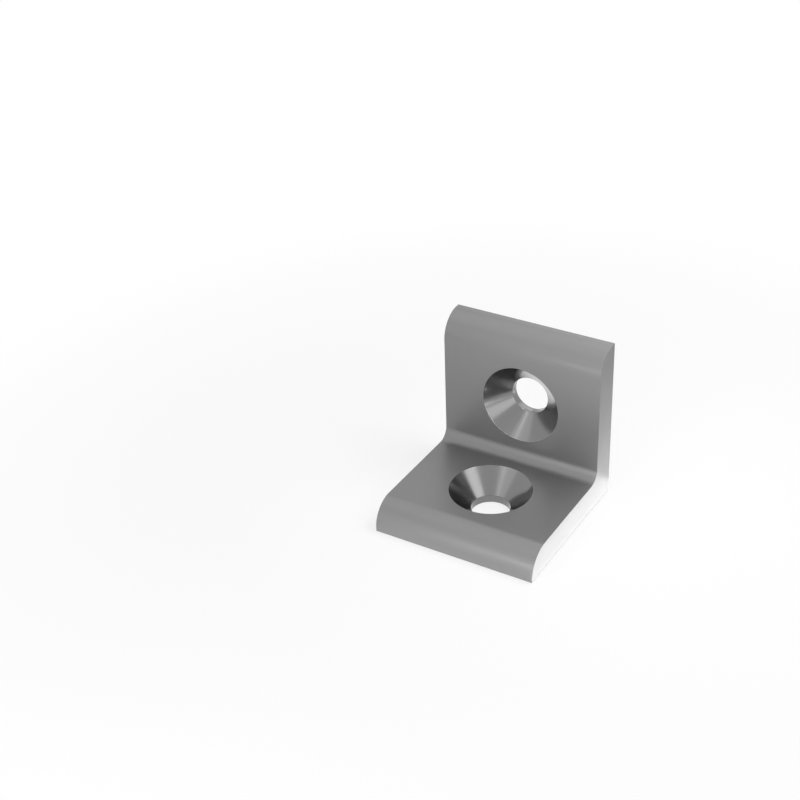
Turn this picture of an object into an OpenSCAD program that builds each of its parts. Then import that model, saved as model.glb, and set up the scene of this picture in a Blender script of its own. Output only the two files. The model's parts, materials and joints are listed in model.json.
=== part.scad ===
// Angle bracket, one solid: two equal legs that meet at a sharp outer corner, a
// small fillet in the inner corner, leg ends that roll down to a thin edge, and
// one countersunk screw hole in each leg. It stands on its base leg, with the
// upright leg at the back: X runs across the width, -Y to the front and Z up.

/* [Legs] */
// Width of the bracket, from side to side
width = 20; // [12:1:60]
// Length of the base leg, from the back face to its front edge
base_len = 20; // [19:0.5:60]
// Height of the upright leg, from the underside to its top edge
upright_len = 20; // [19:0.5:60]
// Thickness of both legs
leg_t = 3.5; // [3:0.1:4.4]

/* [Edges] */
// Radius of the fillet in the inner corner
inner_r = 1.5; // [0.5:0.1:2.4]
// Thickness of the flat edge that is left at each leg's end
tip_edge = 0.5; // [0.3:0.1:1.5]

/* [Screw holes] */
// Distance of each hole's centre from the bracket's outer corner
hole_dist = 10.8; // [10.4:0.1:12]
// Diameter of the hole for the screw's shank
bore_d = 4.6; // [3:0.1:6]
// Diameter of the countersink at the leg's inner face
sink_d = 9.7; // [8:0.1:10.6]
// Full angle of the countersink's cone
sink_angle = 90; // [82:1:100]

/* [Hidden] */
$fn = 96;
// The origin lies under the middle of the bracket's outer box
back_y = base_len / 2;
// The rounded end takes the whole thickness but its flat edge
tip_r = leg_t - tip_edge;
sink_slope = tan(sink_angle / 2);
sink_depth = (sink_d - bore_d) / 2 / sink_slope;
// How far a cut runs past the face that it opens
cut_over = 1;

// What a corner at [r, r] loses when it is rounded by a circle of radius r
module corner_waste(r) {
    difference() {
        square(r + cut_over);
        circle(r);
    }
}

// Side view of one leg, which lies along +X with its outer face on the X axis
module leg_outline(length) {
    difference() {
        square([length, leg_t]);
        translate([length - tip_r, tip_edge]) corner_waste(tip_r);
    }
}

// Side view of the outer corner, up to the fillet between the two legs
module corner_outline() {
    difference() {
        square(leg_t + inner_r);
        translate([leg_t + inner_r, leg_t + inner_r]) circle(inner_r);
    }
}

// Side view of the whole bracket, where X is the distance from the back face
module side_outline() {
    leg_outline(base_len);
    mirror([1, -1]) leg_outline(upright_len);
    corner_outline();
}

// A countersunk hole along +Z, from the outer face at Z = 0 to the inner face
module screw_hole() {
    bore_r = bore_d / 2;
    rotate_extrude()
        polygon([
            [0, -cut_over],
            [bore_r, -cut_over],
            [bore_r, leg_t - sink_depth],
            [sink_d / 2 + cut_over * sink_slope, leg_t + cut_over],
            [0, leg_t + cut_over]
        ]);
}

// A length of the coated section, which stands on its base leg
module section_length() {
    translate([0, back_y, 0])
        rotate([90, 0, -90])
            linear_extrude(height = width, center = true) side_outline();
}

// The section, drilled through its coat to bare metal
module angle_bracket() {
    difference() {
        color("gray") section_length();
        color("silver") {
            translate([0, back_y - hole_dist, 0]) screw_hole();
            translate([0, back_y, hole_dist]) rotate([90, 0, 0]) screw_hole();
        }
    }
}

angle_bracket();
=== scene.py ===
# Angle bracket: its two finishes, a pale floor, soft studio light and the camera
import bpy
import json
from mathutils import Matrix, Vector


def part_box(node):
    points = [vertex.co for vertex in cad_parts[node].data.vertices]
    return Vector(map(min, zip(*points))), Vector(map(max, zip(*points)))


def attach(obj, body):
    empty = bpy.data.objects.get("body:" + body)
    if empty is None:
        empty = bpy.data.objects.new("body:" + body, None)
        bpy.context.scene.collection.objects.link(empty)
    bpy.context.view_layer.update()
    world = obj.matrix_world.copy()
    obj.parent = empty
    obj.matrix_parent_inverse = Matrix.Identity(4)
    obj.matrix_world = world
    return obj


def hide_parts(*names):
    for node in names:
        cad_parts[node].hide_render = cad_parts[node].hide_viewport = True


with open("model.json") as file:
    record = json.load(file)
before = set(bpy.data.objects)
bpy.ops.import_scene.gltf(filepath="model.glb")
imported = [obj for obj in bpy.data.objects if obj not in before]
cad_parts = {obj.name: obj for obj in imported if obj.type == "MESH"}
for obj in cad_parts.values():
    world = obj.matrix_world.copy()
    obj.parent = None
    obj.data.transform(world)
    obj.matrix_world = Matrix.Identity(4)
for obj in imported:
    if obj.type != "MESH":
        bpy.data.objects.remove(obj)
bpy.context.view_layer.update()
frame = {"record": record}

import json
import math

import bpy
from mathutils import Euler, Vector

MM = 0.001

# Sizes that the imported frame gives
low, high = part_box("angle_bracket")
mounts = {mount["name"]: mount for mount in frame["record"]["mounts"]}
WIDTH = high.x - low.x
BASE_LEN = high.y - low.y
UPRIGHT_LEN = high.z - low.z
BACK_Y = high.y
HOLE_DIST = mounts["upright_hole"]["pos_m"][2]
BORE_R = mounts["upright_hole"]["dims"]["r_mm"] * MM

# Sizes that the frame's record doesn't hold
LEG_T = 3.5 * MM
INNER_R = 1.5 * MM
TIP_EDGE = 0.5 * MM
SINK_R = 4.85 * MM
SINK_ANGLE = 90
SINK_SLOPE = math.tan(math.radians(SINK_ANGLE / 2))

# The broken edges: width, steps across it, and the angle from which an edge is sharp
EDGE_BREAK = 0.025 * MM
EDGE_STEPS = 2
SHARP_ANGLE = math.radians(30)
# How far the larger faces rule the shading beside an edge, up to 100
LARGE_FACE_WEIGHT = 100

# How finely the curved stretches are divided
TIP_STEPS = 28
FILLET_STEPS = 16
HOLE_STEPS = 128
# How far a cutter runs past the face that it opens
CUT_OVER = 1 * MM
# The face attribute that marks what the drill has cut
CUT_MARK = "drilled"

# The satin coat: a slow mottle in its gloss and a fine grain in its surface
COAT_COLOUR = (0.19, 0.19, 0.19, 1)
COAT_METAL = 0.4
COAT_ROUGHNESS = (0.34, 0.40)
COAT_MOTTLE = 1.5 * MM
COAT_GRAIN = 0.12 * MM
COAT_GRAIN_DEPTH = 0.0015 * MM

# The bare metal: fine rings that the countersink's edge has turned
BARE_COLOUR = (0.21, 0.21, 0.21, 1)
BARE_ROUGHNESS = (0.16, 0.21)
BARE_MOTTLE = 0.8 * MM
RING_PITCH = 0.12 * MM
RING_DEPTH = 0.0008 * MM

WHITE = (1, 1, 1, 1)
# The floor: how far it lies below the bracket, and its colour for the camera and for light
FLOOR_SIZE = 3.0
FLOOR_GAP = 0.02 * MM
FLOOR_SEEN = (0.95, 0.95, 0.95, 1)
FLOOR_UNSEEN = (0.35, 0.35, 0.35, 1)
# The camera sees it mixed with plain white, which rises to all of it over this distance
FLOOR_SHADOW_SPAN = (30 * MM, 80 * MM)
FLOOR_WHITE_SEEN = 0.78
# How bright the walls are where a matt surface sees them
WALL_LEVEL = 0.07

BRACKET_MIDDLE = (low + high) / 2
# Lamps all round. Name, azimuth from the front towards the right, elevation, width and
# height as angles, level where 1 is white, distance
SOFT_BOXES = [
    ("key_right", 22, 5, 28, 10, 12.0, 150 * MM),
    ("key_front", -4, 6, 30, 12, 4.2, 90 * MM),
    ("right_low", 56, 8, 22, 26, 1.0, 150 * MM),
    ("right_high", 104, 44, 58, 20, 1.35, 600 * MM),
    ("front_high", -2, 32, 26, 16, 2.8, 600 * MM),
    ("front_left", -30, 28, 40, 58, 0.36, 600 * MM),
    ("left_high", -60, 66, 50, 18, 1.15, 600 * MM),
    ("back_high", 196, 62, 50, 18, 1.1, 600 * MM),
    ("back_high_right", 130, 62, 32, 18, 11.0, 70 * MM),
    ("back", 180, 33, 50, 22, 0.8, 600 * MM),
]
# Lamps that lie just above the floor. Name, left, right, front and back side, level
STRIP_LIFT = 0.05 * MM
FLOOR_STRIPS = [
    ("foot_right", high.x, high.x + 3 * MM, low.y - 2 * MM, high.y + 2 * MM, 2.0),
    ("foot_right_outer", high.x + 3 * MM, high.x + 7 * MM, low.y - 2 * MM, high.y + 2 * MM, 1.5),
    ("foot_right_long", high.x, high.x + 7 * MM, low.y - 2 * MM, high.y + 24 * MM, 1.05),
    ("foot_front", low.x - 2 * MM, high.x + 2 * MM, low.y - 7 * MM, low.y, 0.7),
    ("front_left_floor", low.x - 20 * MM, high.x, low.y - 35 * MM, low.y - 7 * MM, 0.95),
    ("front_right_floor", high.x, high.x + 30 * MM, low.y - 35 * MM, low.y - 7 * MM, 3.0),
]

# The camera: its turn in degrees, its lens and sensor in millimetres, and how near it sees
CAMERA_PLACE = Vector((67.175, -125.642, 103.808)) * MM
CAMERA_TURN = (58.159, 2.03, 31.075)
CAMERA_LENS = 67.561
CAMERA_SENSOR = 36
CAMERA_NEAR = 10 * MM


class Nodes:
    """A node tree under construction."""

    def __init__(self, tree):
        self.tree = tree

    def add(self, kind, sockets=None, **settings):
        """Adds a node, sets its options, and links or sets its input sockets."""
        node = self.tree.nodes.new(kind)
        for key, value in settings.items():
            setattr(node, key, value)
        for key, value in (sockets or {}).items():
            self.feed(node.inputs[key], value)
        return node

    def feed(self, socket, value):
        """Links a socket to an output, or sets its value."""
        if isinstance(value, bpy.types.NodeSocket):
            self.tree.links.new(value, socket)
        else:
            socket.default_value = value

    def math(self, operation, *values):
        """The result of a sum, difference, product or other operation."""
        node = self.add("ShaderNodeMath", dict(enumerate(values)), operation=operation)
        return node.outputs[0]

    def spread(self, value, from_low, from_high, to_low, to_high):
        """A value carried over from one range to another, and kept inside it."""
        node = self.add("ShaderNodeMapRange", {
            "Value": value, "From Min": from_low, "From Max": from_high,
            "To Min": to_low, "To Max": to_high})
        return node.outputs["Result"]


class ShapeNodes(Nodes):
    """A geometry node tree with its named inputs."""

    def __init__(self, name, inputs):
        super().__init__(bpy.data.node_groups.new(name, "GeometryNodeTree"))
        for label in inputs:
            self.tree.interface.new_socket(label, in_out="INPUT", socket_type="NodeSocketFloat")
        self.tree.interface.new_socket("Geometry", in_out="OUTPUT", socket_type="NodeSocketGeometry")
        self.start = self.add("NodeGroupInput")
        self.end = self.add("NodeGroupOutput")

    def given(self, label):
        """The output that carries the named input."""
        return self.start.outputs[label]

    def vector(self, x, y, z):
        """A vector made of three values."""
        return self.add("ShaderNodeCombineXYZ", {"X": x, "Y": y, "Z": z}).outputs[0]

    def by_index(self, kind, values):
        """A field that gives each point the value listed for its index."""
        node = self.add("GeometryNodeIndexSwitch", data_type=kind)
        while len(node.index_switch_items) < len(values):
            node.index_switch_items.new()
        self.feed(node.inputs["Index"], self.add("GeometryNodeInputIndex").outputs[0])
        for number, value in enumerate(values):
            self.feed(node.inputs[str(number)], value)
        return node.outputs[0]

    def line(self, points):
        """An open curve through the given points."""
        chain = self.add("GeometryNodeMeshLine", {"Count": len(points)})
        placed = self.add("GeometryNodeSetPosition", {
            "Geometry": chain.outputs[0], "Position": self.by_index("VECTOR", points)})
        return self.add("GeometryNodeMeshToCurve", {"Mesh": placed.outputs[0]}).outputs[0]

    def moved(self, geometry, place, turn=(0, 0, 0)):
        """Geometry that is turned about the origin and then moved."""
        return self.add("GeometryNodeTransform", {
            "Geometry": geometry, "Translation": place, "Rotation": Euler(turn)}).outputs[0]


def side_outline(shape):
    """The section of the bracket, as a closed curve with rounded corners."""
    base, upright = shape.given("Base Length"), shape.given("Upright Length")
    leg, tip_edge = shape.given("Leg Thickness"), shape.given("Tip Edge")
    tip_r = shape.math("SUBTRACT", leg, tip_edge)
    corners = [
        shape.vector(0, 0, 0), shape.vector(base, 0, 0), shape.vector(base, leg, 0),
        shape.vector(leg, leg, 0), shape.vector(leg, upright, 0), shape.vector(0, upright, 0)]
    closed = shape.add("GeometryNodeSetSplineCyclic", {
        "Geometry": shape.line(corners), "Cyclic": True})
    radii = shape.by_index("FLOAT", [0, 0, tip_r, shape.given("Inner Radius"), tip_r, 0])
    steps = shape.by_index("INT", [1, 1, TIP_STEPS, FILLET_STEPS, TIP_STEPS, 1])
    rounded = shape.add("GeometryNodeFilletCurve", {
        "Curve": closed.outputs[0], "Count": steps, "Radius": radii}, mode="POLY")
    return rounded.outputs[0]


def section_length(shape):
    """The section swept across the width, with closed sides, on its base leg."""
    half = shape.math("MULTIPLY", shape.given("Width"), 0.5)
    minus_half = shape.math("MULTIPLY", half, -1.0)
    rail = shape.line([shape.vector(0, 0, minus_half), shape.vector(0, 0, half)])
    sweep = shape.add("GeometryNodeCurveToMesh", {
        "Curve": rail, "Profile Curve": side_outline(shape), "Fill Caps": True})
    back = shape.vector(0, shape.given("Back Y"), 0)
    return shape.moved(sweep.outputs[0], back, (math.pi / 2, 0, -math.pi / 2))


def screw_hole(shape):
    """The space of one countersunk hole, along +Z from the leg's outer face."""
    leg, slope = shape.given("Leg Thickness"), shape.given("Sink Slope")
    bore_r, sink_r = shape.given("Bore Radius"), shape.given("Sink Radius")
    depth = shape.math("DIVIDE", shape.math("SUBTRACT", sink_r, bore_r), slope)
    throat = shape.math("SUBTRACT", leg, depth)
    mouth_r = shape.math("ADD", sink_r, shape.math("MULTIPLY", slope, CUT_OVER))
    heights = [-CUT_OVER, throat, shape.math("ADD", leg, CUT_OVER)]
    rail = shape.line([shape.vector(0, 0, height) for height in heights])
    ring = shape.add("GeometryNodeCurvePrimitiveCircle", {"Resolution": HOLE_STEPS, "Radius": 1.0})
    lathe = shape.add("GeometryNodeCurveToMesh", {
        "Curve": rail, "Profile Curve": ring.outputs["Curve"], "Fill Caps": True,
        "Scale": shape.by_index("FLOAT", [bore_r, bore_r, mouth_r])})
    marked = shape.add("GeometryNodeStoreNamedAttribute", {
        "Geometry": lathe.outputs[0], "Name": CUT_MARK, "Value": True},
        data_type="BOOLEAN", domain="FACE")
    return marked.outputs[0]


def drilled_section(shape):
    """The length of section less its two countersunk holes."""
    back_y, hole_dist = shape.given("Back Y"), shape.given("Hole Distance")
    hole = screw_hole(shape)
    base_place = shape.vector(0, shape.math("SUBTRACT", back_y, hole_dist), 0)
    base_hole = shape.moved(hole, base_place)
    upright_hole = shape.moved(hole, shape.vector(0, back_y, hole_dist), (math.pi / 2, 0, 0))
    drilled = shape.add("GeometryNodeMeshBoolean", {
        "Mesh 1": section_length(shape)}, operation="DIFFERENCE", solver="EXACT")
    for cut in (base_hole, upright_hole):
        shape.feed(drilled.inputs["Mesh 2"], cut)
    return drilled.outputs[0]


# The bracket's sizes, by the names of the inputs that its nodes read
BRACKET_SIZES = {
    "Width": WIDTH, "Base Length": BASE_LEN, "Upright Length": UPRIGHT_LEN, "Back Y": BACK_Y,
    "Leg Thickness": LEG_T, "Inner Radius": INNER_R, "Tip Edge": TIP_EDGE,
    "Hole Distance": HOLE_DIST, "Bore Radius": BORE_R, "Sink Radius": SINK_R, "Sink Slope": SINK_SLOPE}


def bracket_nodes(coat, bare):
    """Geometry nodes that make the whole bracket from its sizes."""
    shape = ShapeNodes("drilled_section", BRACKET_SIZES)
    real = shape.add("GeometryNodeRealizeInstances", {"Geometry": drilled_section(shape)})
    coated = shape.add("GeometryNodeSetMaterial", {"Geometry": real.outputs[0], "Material": coat})
    is_cut = shape.add("GeometryNodeInputNamedAttribute", {"Name": CUT_MARK}, data_type="BOOLEAN")
    finished = shape.add("GeometryNodeSetMaterial", {
        "Geometry": coated.outputs[0], "Selection": is_cut.outputs["Attribute"], "Material": bare})
    shape.feed(shape.end.inputs[0], finished.outputs[0])
    return shape.tree


def drop_empty_slots(mesh):
    """Takes out the material slots that hold nothing."""
    kept = [material for material in mesh.materials if material]
    chosen = [kept.index(mesh.materials[face.material_index]) for face in mesh.polygons]
    mesh.materials.clear()
    for material in kept:
        mesh.materials.append(material)
    mesh.polygons.foreach_set("material_index", chosen)


def made_with_nodes(name, group, sizes):
    """An object whose plain mesh is what the node tree makes from the sizes."""
    seed = bpy.data.objects.new(name + "_seed", bpy.data.meshes.new(name + "_seed"))
    bpy.context.scene.collection.objects.link(seed)
    modifier = seed.modifiers.new("nodes", "NODES")
    modifier.node_group = group
    for item in group.interface.items_tree:
        if item.in_out == "INPUT":
            modifier[item.identifier] = sizes[item.name]
    graph = bpy.context.evaluated_depsgraph_get()
    mesh = bpy.data.meshes.new_from_object(seed.evaluated_get(graph), depsgraph=graph)
    bpy.data.objects.remove(seed)
    drop_empty_slots(mesh)
    piece = bpy.data.objects.new(name, mesh)
    bpy.context.scene.collection.objects.link(piece)
    return piece


def broken_edges(piece):
    """Takes the sharpness off the edges and evens the shading."""
    for face in piece.data.polygons:
        face.use_smooth = True
    edge = piece.modifiers.new("edge_break", "BEVEL")
    edge.width = EDGE_BREAK
    edge.segments = EDGE_STEPS
    edge.limit_method = "ANGLE"
    edge.angle_limit = SHARP_ANGLE
    shading = piece.modifiers.new("shading", "WEIGHTED_NORMAL")
    shading.mode = "FACE_AREA"
    shading.weight = LARGE_FACE_WEIGHT


# The sockets of a Mix node go by number: 0 is the share of the second value, then come
# 2 and 3 for plain values, 6 and 7 for colours, or 1 and 2 where it mixes shaders


class Material(Nodes):
    """A material under construction, with its Principled shader."""

    def __init__(self, name):
        self.material = bpy.data.materials.new(name)
        self.material.use_nodes = True
        super().__init__(self.material.node_tree)
        self.surface = self.tree.nodes["Principled BSDF"]
        self.end = self.tree.nodes["Material Output"]
        self.place = self.add("ShaderNodeTexCoord").outputs["Object"]

    def grain(self, size):
        """A soft noise whose cells are about as large as the given size."""
        return self.add("ShaderNodeTexNoise", {"Vector": self.place, "Scale": 1 / size}).outputs["Fac"]

    def roughness(self, height, ends):
        """Roughness that runs between two ends as a height runs from 0 to 1."""
        self.feed(self.surface.inputs["Roughness"], self.spread(height, 0, 1, *ends))

    def relief(self, height, depth):
        """Bump from a height from 0 to 1 that stands for the given depth."""
        bump = self.add("ShaderNodeBump", {"Height": height, "Distance": depth, "Strength": 1.0})
        self.feed(self.surface.inputs["Normal"], bump.outputs["Normal"])


def grey_coat():
    """Satin grey coat of the cut section."""
    coat = Material("grey_coat")
    coat.feed(coat.surface.inputs["Base Color"], COAT_COLOUR)
    coat.feed(coat.surface.inputs["Metallic"], COAT_METAL)
    coat.roughness(coat.grain(COAT_MOTTLE), COAT_ROUGHNESS)
    coat.relief(coat.grain(COAT_GRAIN), COAT_GRAIN_DEPTH)
    return coat.material


def along_hole(bare):
    """The distance along the axis of the hole that a point lies in."""
    axes = bare.add("ShaderNodeSeparateXYZ", {"Vector": bare.place}).outputs
    in_upright = bare.math("GREATER_THAN", axes["Y"], BACK_Y - LEG_T)
    return bare.add("ShaderNodeMix", {0: in_upright, 2: axes["Z"], 3: axes["Y"]}).outputs[0]


def bare_metal():
    """Glossy metal that the drill and the countersink have left."""
    bare = Material("bare_metal")
    bare.feed(bare.surface.inputs["Base Color"], BARE_COLOUR)
    bare.feed(bare.surface.inputs["Metallic"], 1.0)
    bare.roughness(bare.grain(BARE_MOTTLE), BARE_ROUGHNESS)
    rings = bare.add("ShaderNodeTexNoise", {
        "W": along_hole(bare), "Scale": 1 / RING_PITCH}, noise_dimensions="1D")
    bare.relief(rings.outputs["Fac"], RING_DEPTH)
    return bare.material


def white_share(nodes, seen):
    """How much of a ray meets plain white: for the camera, in gloss and through glass."""
    path = nodes.add("ShaderNodeLightPath").outputs
    unseen = nodes.math("ADD", path["Is Glossy Ray"], path["Is Transmission Ray"])
    return nodes.math("MULTIPLY_ADD", path["Is Camera Ray"], seen, unseen)


def white_floor():
    """A white floor that keeps a faint shadow of the bracket."""
    bpy.ops.mesh.primitive_plane_add(size=FLOOR_SIZE, location=(0, 0, -FLOOR_GAP))
    floor = bpy.context.object
    floor.name = "floor"
    paint = Material("white_floor")
    path = paint.add("ShaderNodeLightPath").outputs
    tone = paint.add("ShaderNodeMix", {
        0: path["Is Camera Ray"], 6: FLOOR_UNSEEN, 7: FLOOR_SEEN}, data_type="RGBA")
    matt = paint.add("ShaderNodeBsdfDiffuse", {"Color": tone.outputs[2]})
    white = paint.add("ShaderNodeEmission", {"Color": WHITE, "Strength": 1.0})
    distance = paint.add("ShaderNodeVectorMath", {0: paint.place}, operation="LENGTH")
    seen = paint.spread(distance.outputs["Value"], *FLOOR_SHADOW_SPAN, FLOOR_WHITE_SEEN, 1.0)
    mixed = paint.add("ShaderNodeMixShader", {
        0: white_share(paint, seen), 1: matt.outputs[0], 2: white.outputs[0]})
    paint.feed(paint.end.inputs["Surface"], mixed.outputs[0])
    paint.tree.nodes.remove(paint.surface)
    floor.data.materials.append(paint.material)
    return floor


def studio_world():
    """Walls that are white to the camera and in gloss, and light matt surfaces dimly."""
    world = bpy.data.worlds.new("studio")
    bpy.context.scene.world = world
    world.use_nodes = True
    nodes = Nodes(world.node_tree)
    walls = nodes.tree.nodes["Background"]
    nodes.feed(walls.inputs["Color"], WHITE)
    nodes.feed(walls.inputs["Strength"], WALL_LEVEL)
    white = nodes.add("ShaderNodeBackground", {"Color": WHITE, "Strength": 1.0})
    mixed = nodes.add("ShaderNodeMixShader", {
        0: white_share(nodes, 1.0), 1: walls.outputs[0], 2: white.outputs[0]})
    nodes.feed(nodes.tree.nodes["World Output"].inputs["Surface"], mixed.outputs[0])


def lamp_plate(name, sides, level):
    """A plate that shines one way at a level where 1 is white, unseen by the camera."""
    data = bpy.data.lights.new(name, "AREA")
    data.shape = "RECTANGLE"
    data.size, data.size_y = sides
    data.energy = level * math.pi * sides[0] * sides[1]
    lamp = bpy.data.objects.new(name, data)
    bpy.context.scene.collection.objects.link(lamp)
    lamp.visible_camera = False
    return lamp


def soft_box(name, azimuth, elevation, wide, tall, level, distance):
    """A lamp that spans two angles as the bracket sees it."""
    a, e = math.radians(azimuth), math.radians(elevation)
    away = Vector((math.sin(a) * math.cos(e), -math.cos(a) * math.cos(e), math.sin(e)))
    sides = [2 * distance * math.tan(math.radians(angle) / 2) for angle in (wide, tall)]
    lamp = lamp_plate(name, sides, level)
    lamp.location = BRACKET_MIDDLE + away * distance
    lamp.rotation_euler = away.to_track_quat("Z", "Y").to_euler()


def floor_strip(name, left, right, front, back, level):
    """A lamp that lies face up on the floor between four sides."""
    strip = lamp_plate(name, [right - left, back - front], level)
    strip.location = ((left + right) / 2, (front + back) / 2, STRIP_LIFT)
    strip.rotation_euler = (math.pi, 0, 0)


def camera():
    """The camera at the photograph's place and angle."""
    data = bpy.data.cameras.new("camera")
    data.sensor_width = CAMERA_SENSOR
    data.lens = CAMERA_LENS
    data.clip_start = CAMERA_NEAR
    view = bpy.data.objects.new("camera", data)
    bpy.context.scene.collection.objects.link(view)
    view.location = CAMERA_PLACE
    view.rotation_euler = [math.radians(angle) for angle in CAMERA_TURN]
    bpy.context.scene.camera = view


bracket = made_with_nodes("bracket", bracket_nodes(grey_coat(), bare_metal()), BRACKET_SIZES)
broken_edges(bracket)
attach(bracket, "root")
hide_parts("angle_bracket")
white_floor()
studio_world()
for box in SOFT_BOXES:
    soft_box(*box)
for strip in FLOOR_STRIPS:
    floor_strip(*strip)
camera()
bpy.context.scene.view_settings.view_transform = "Standard"
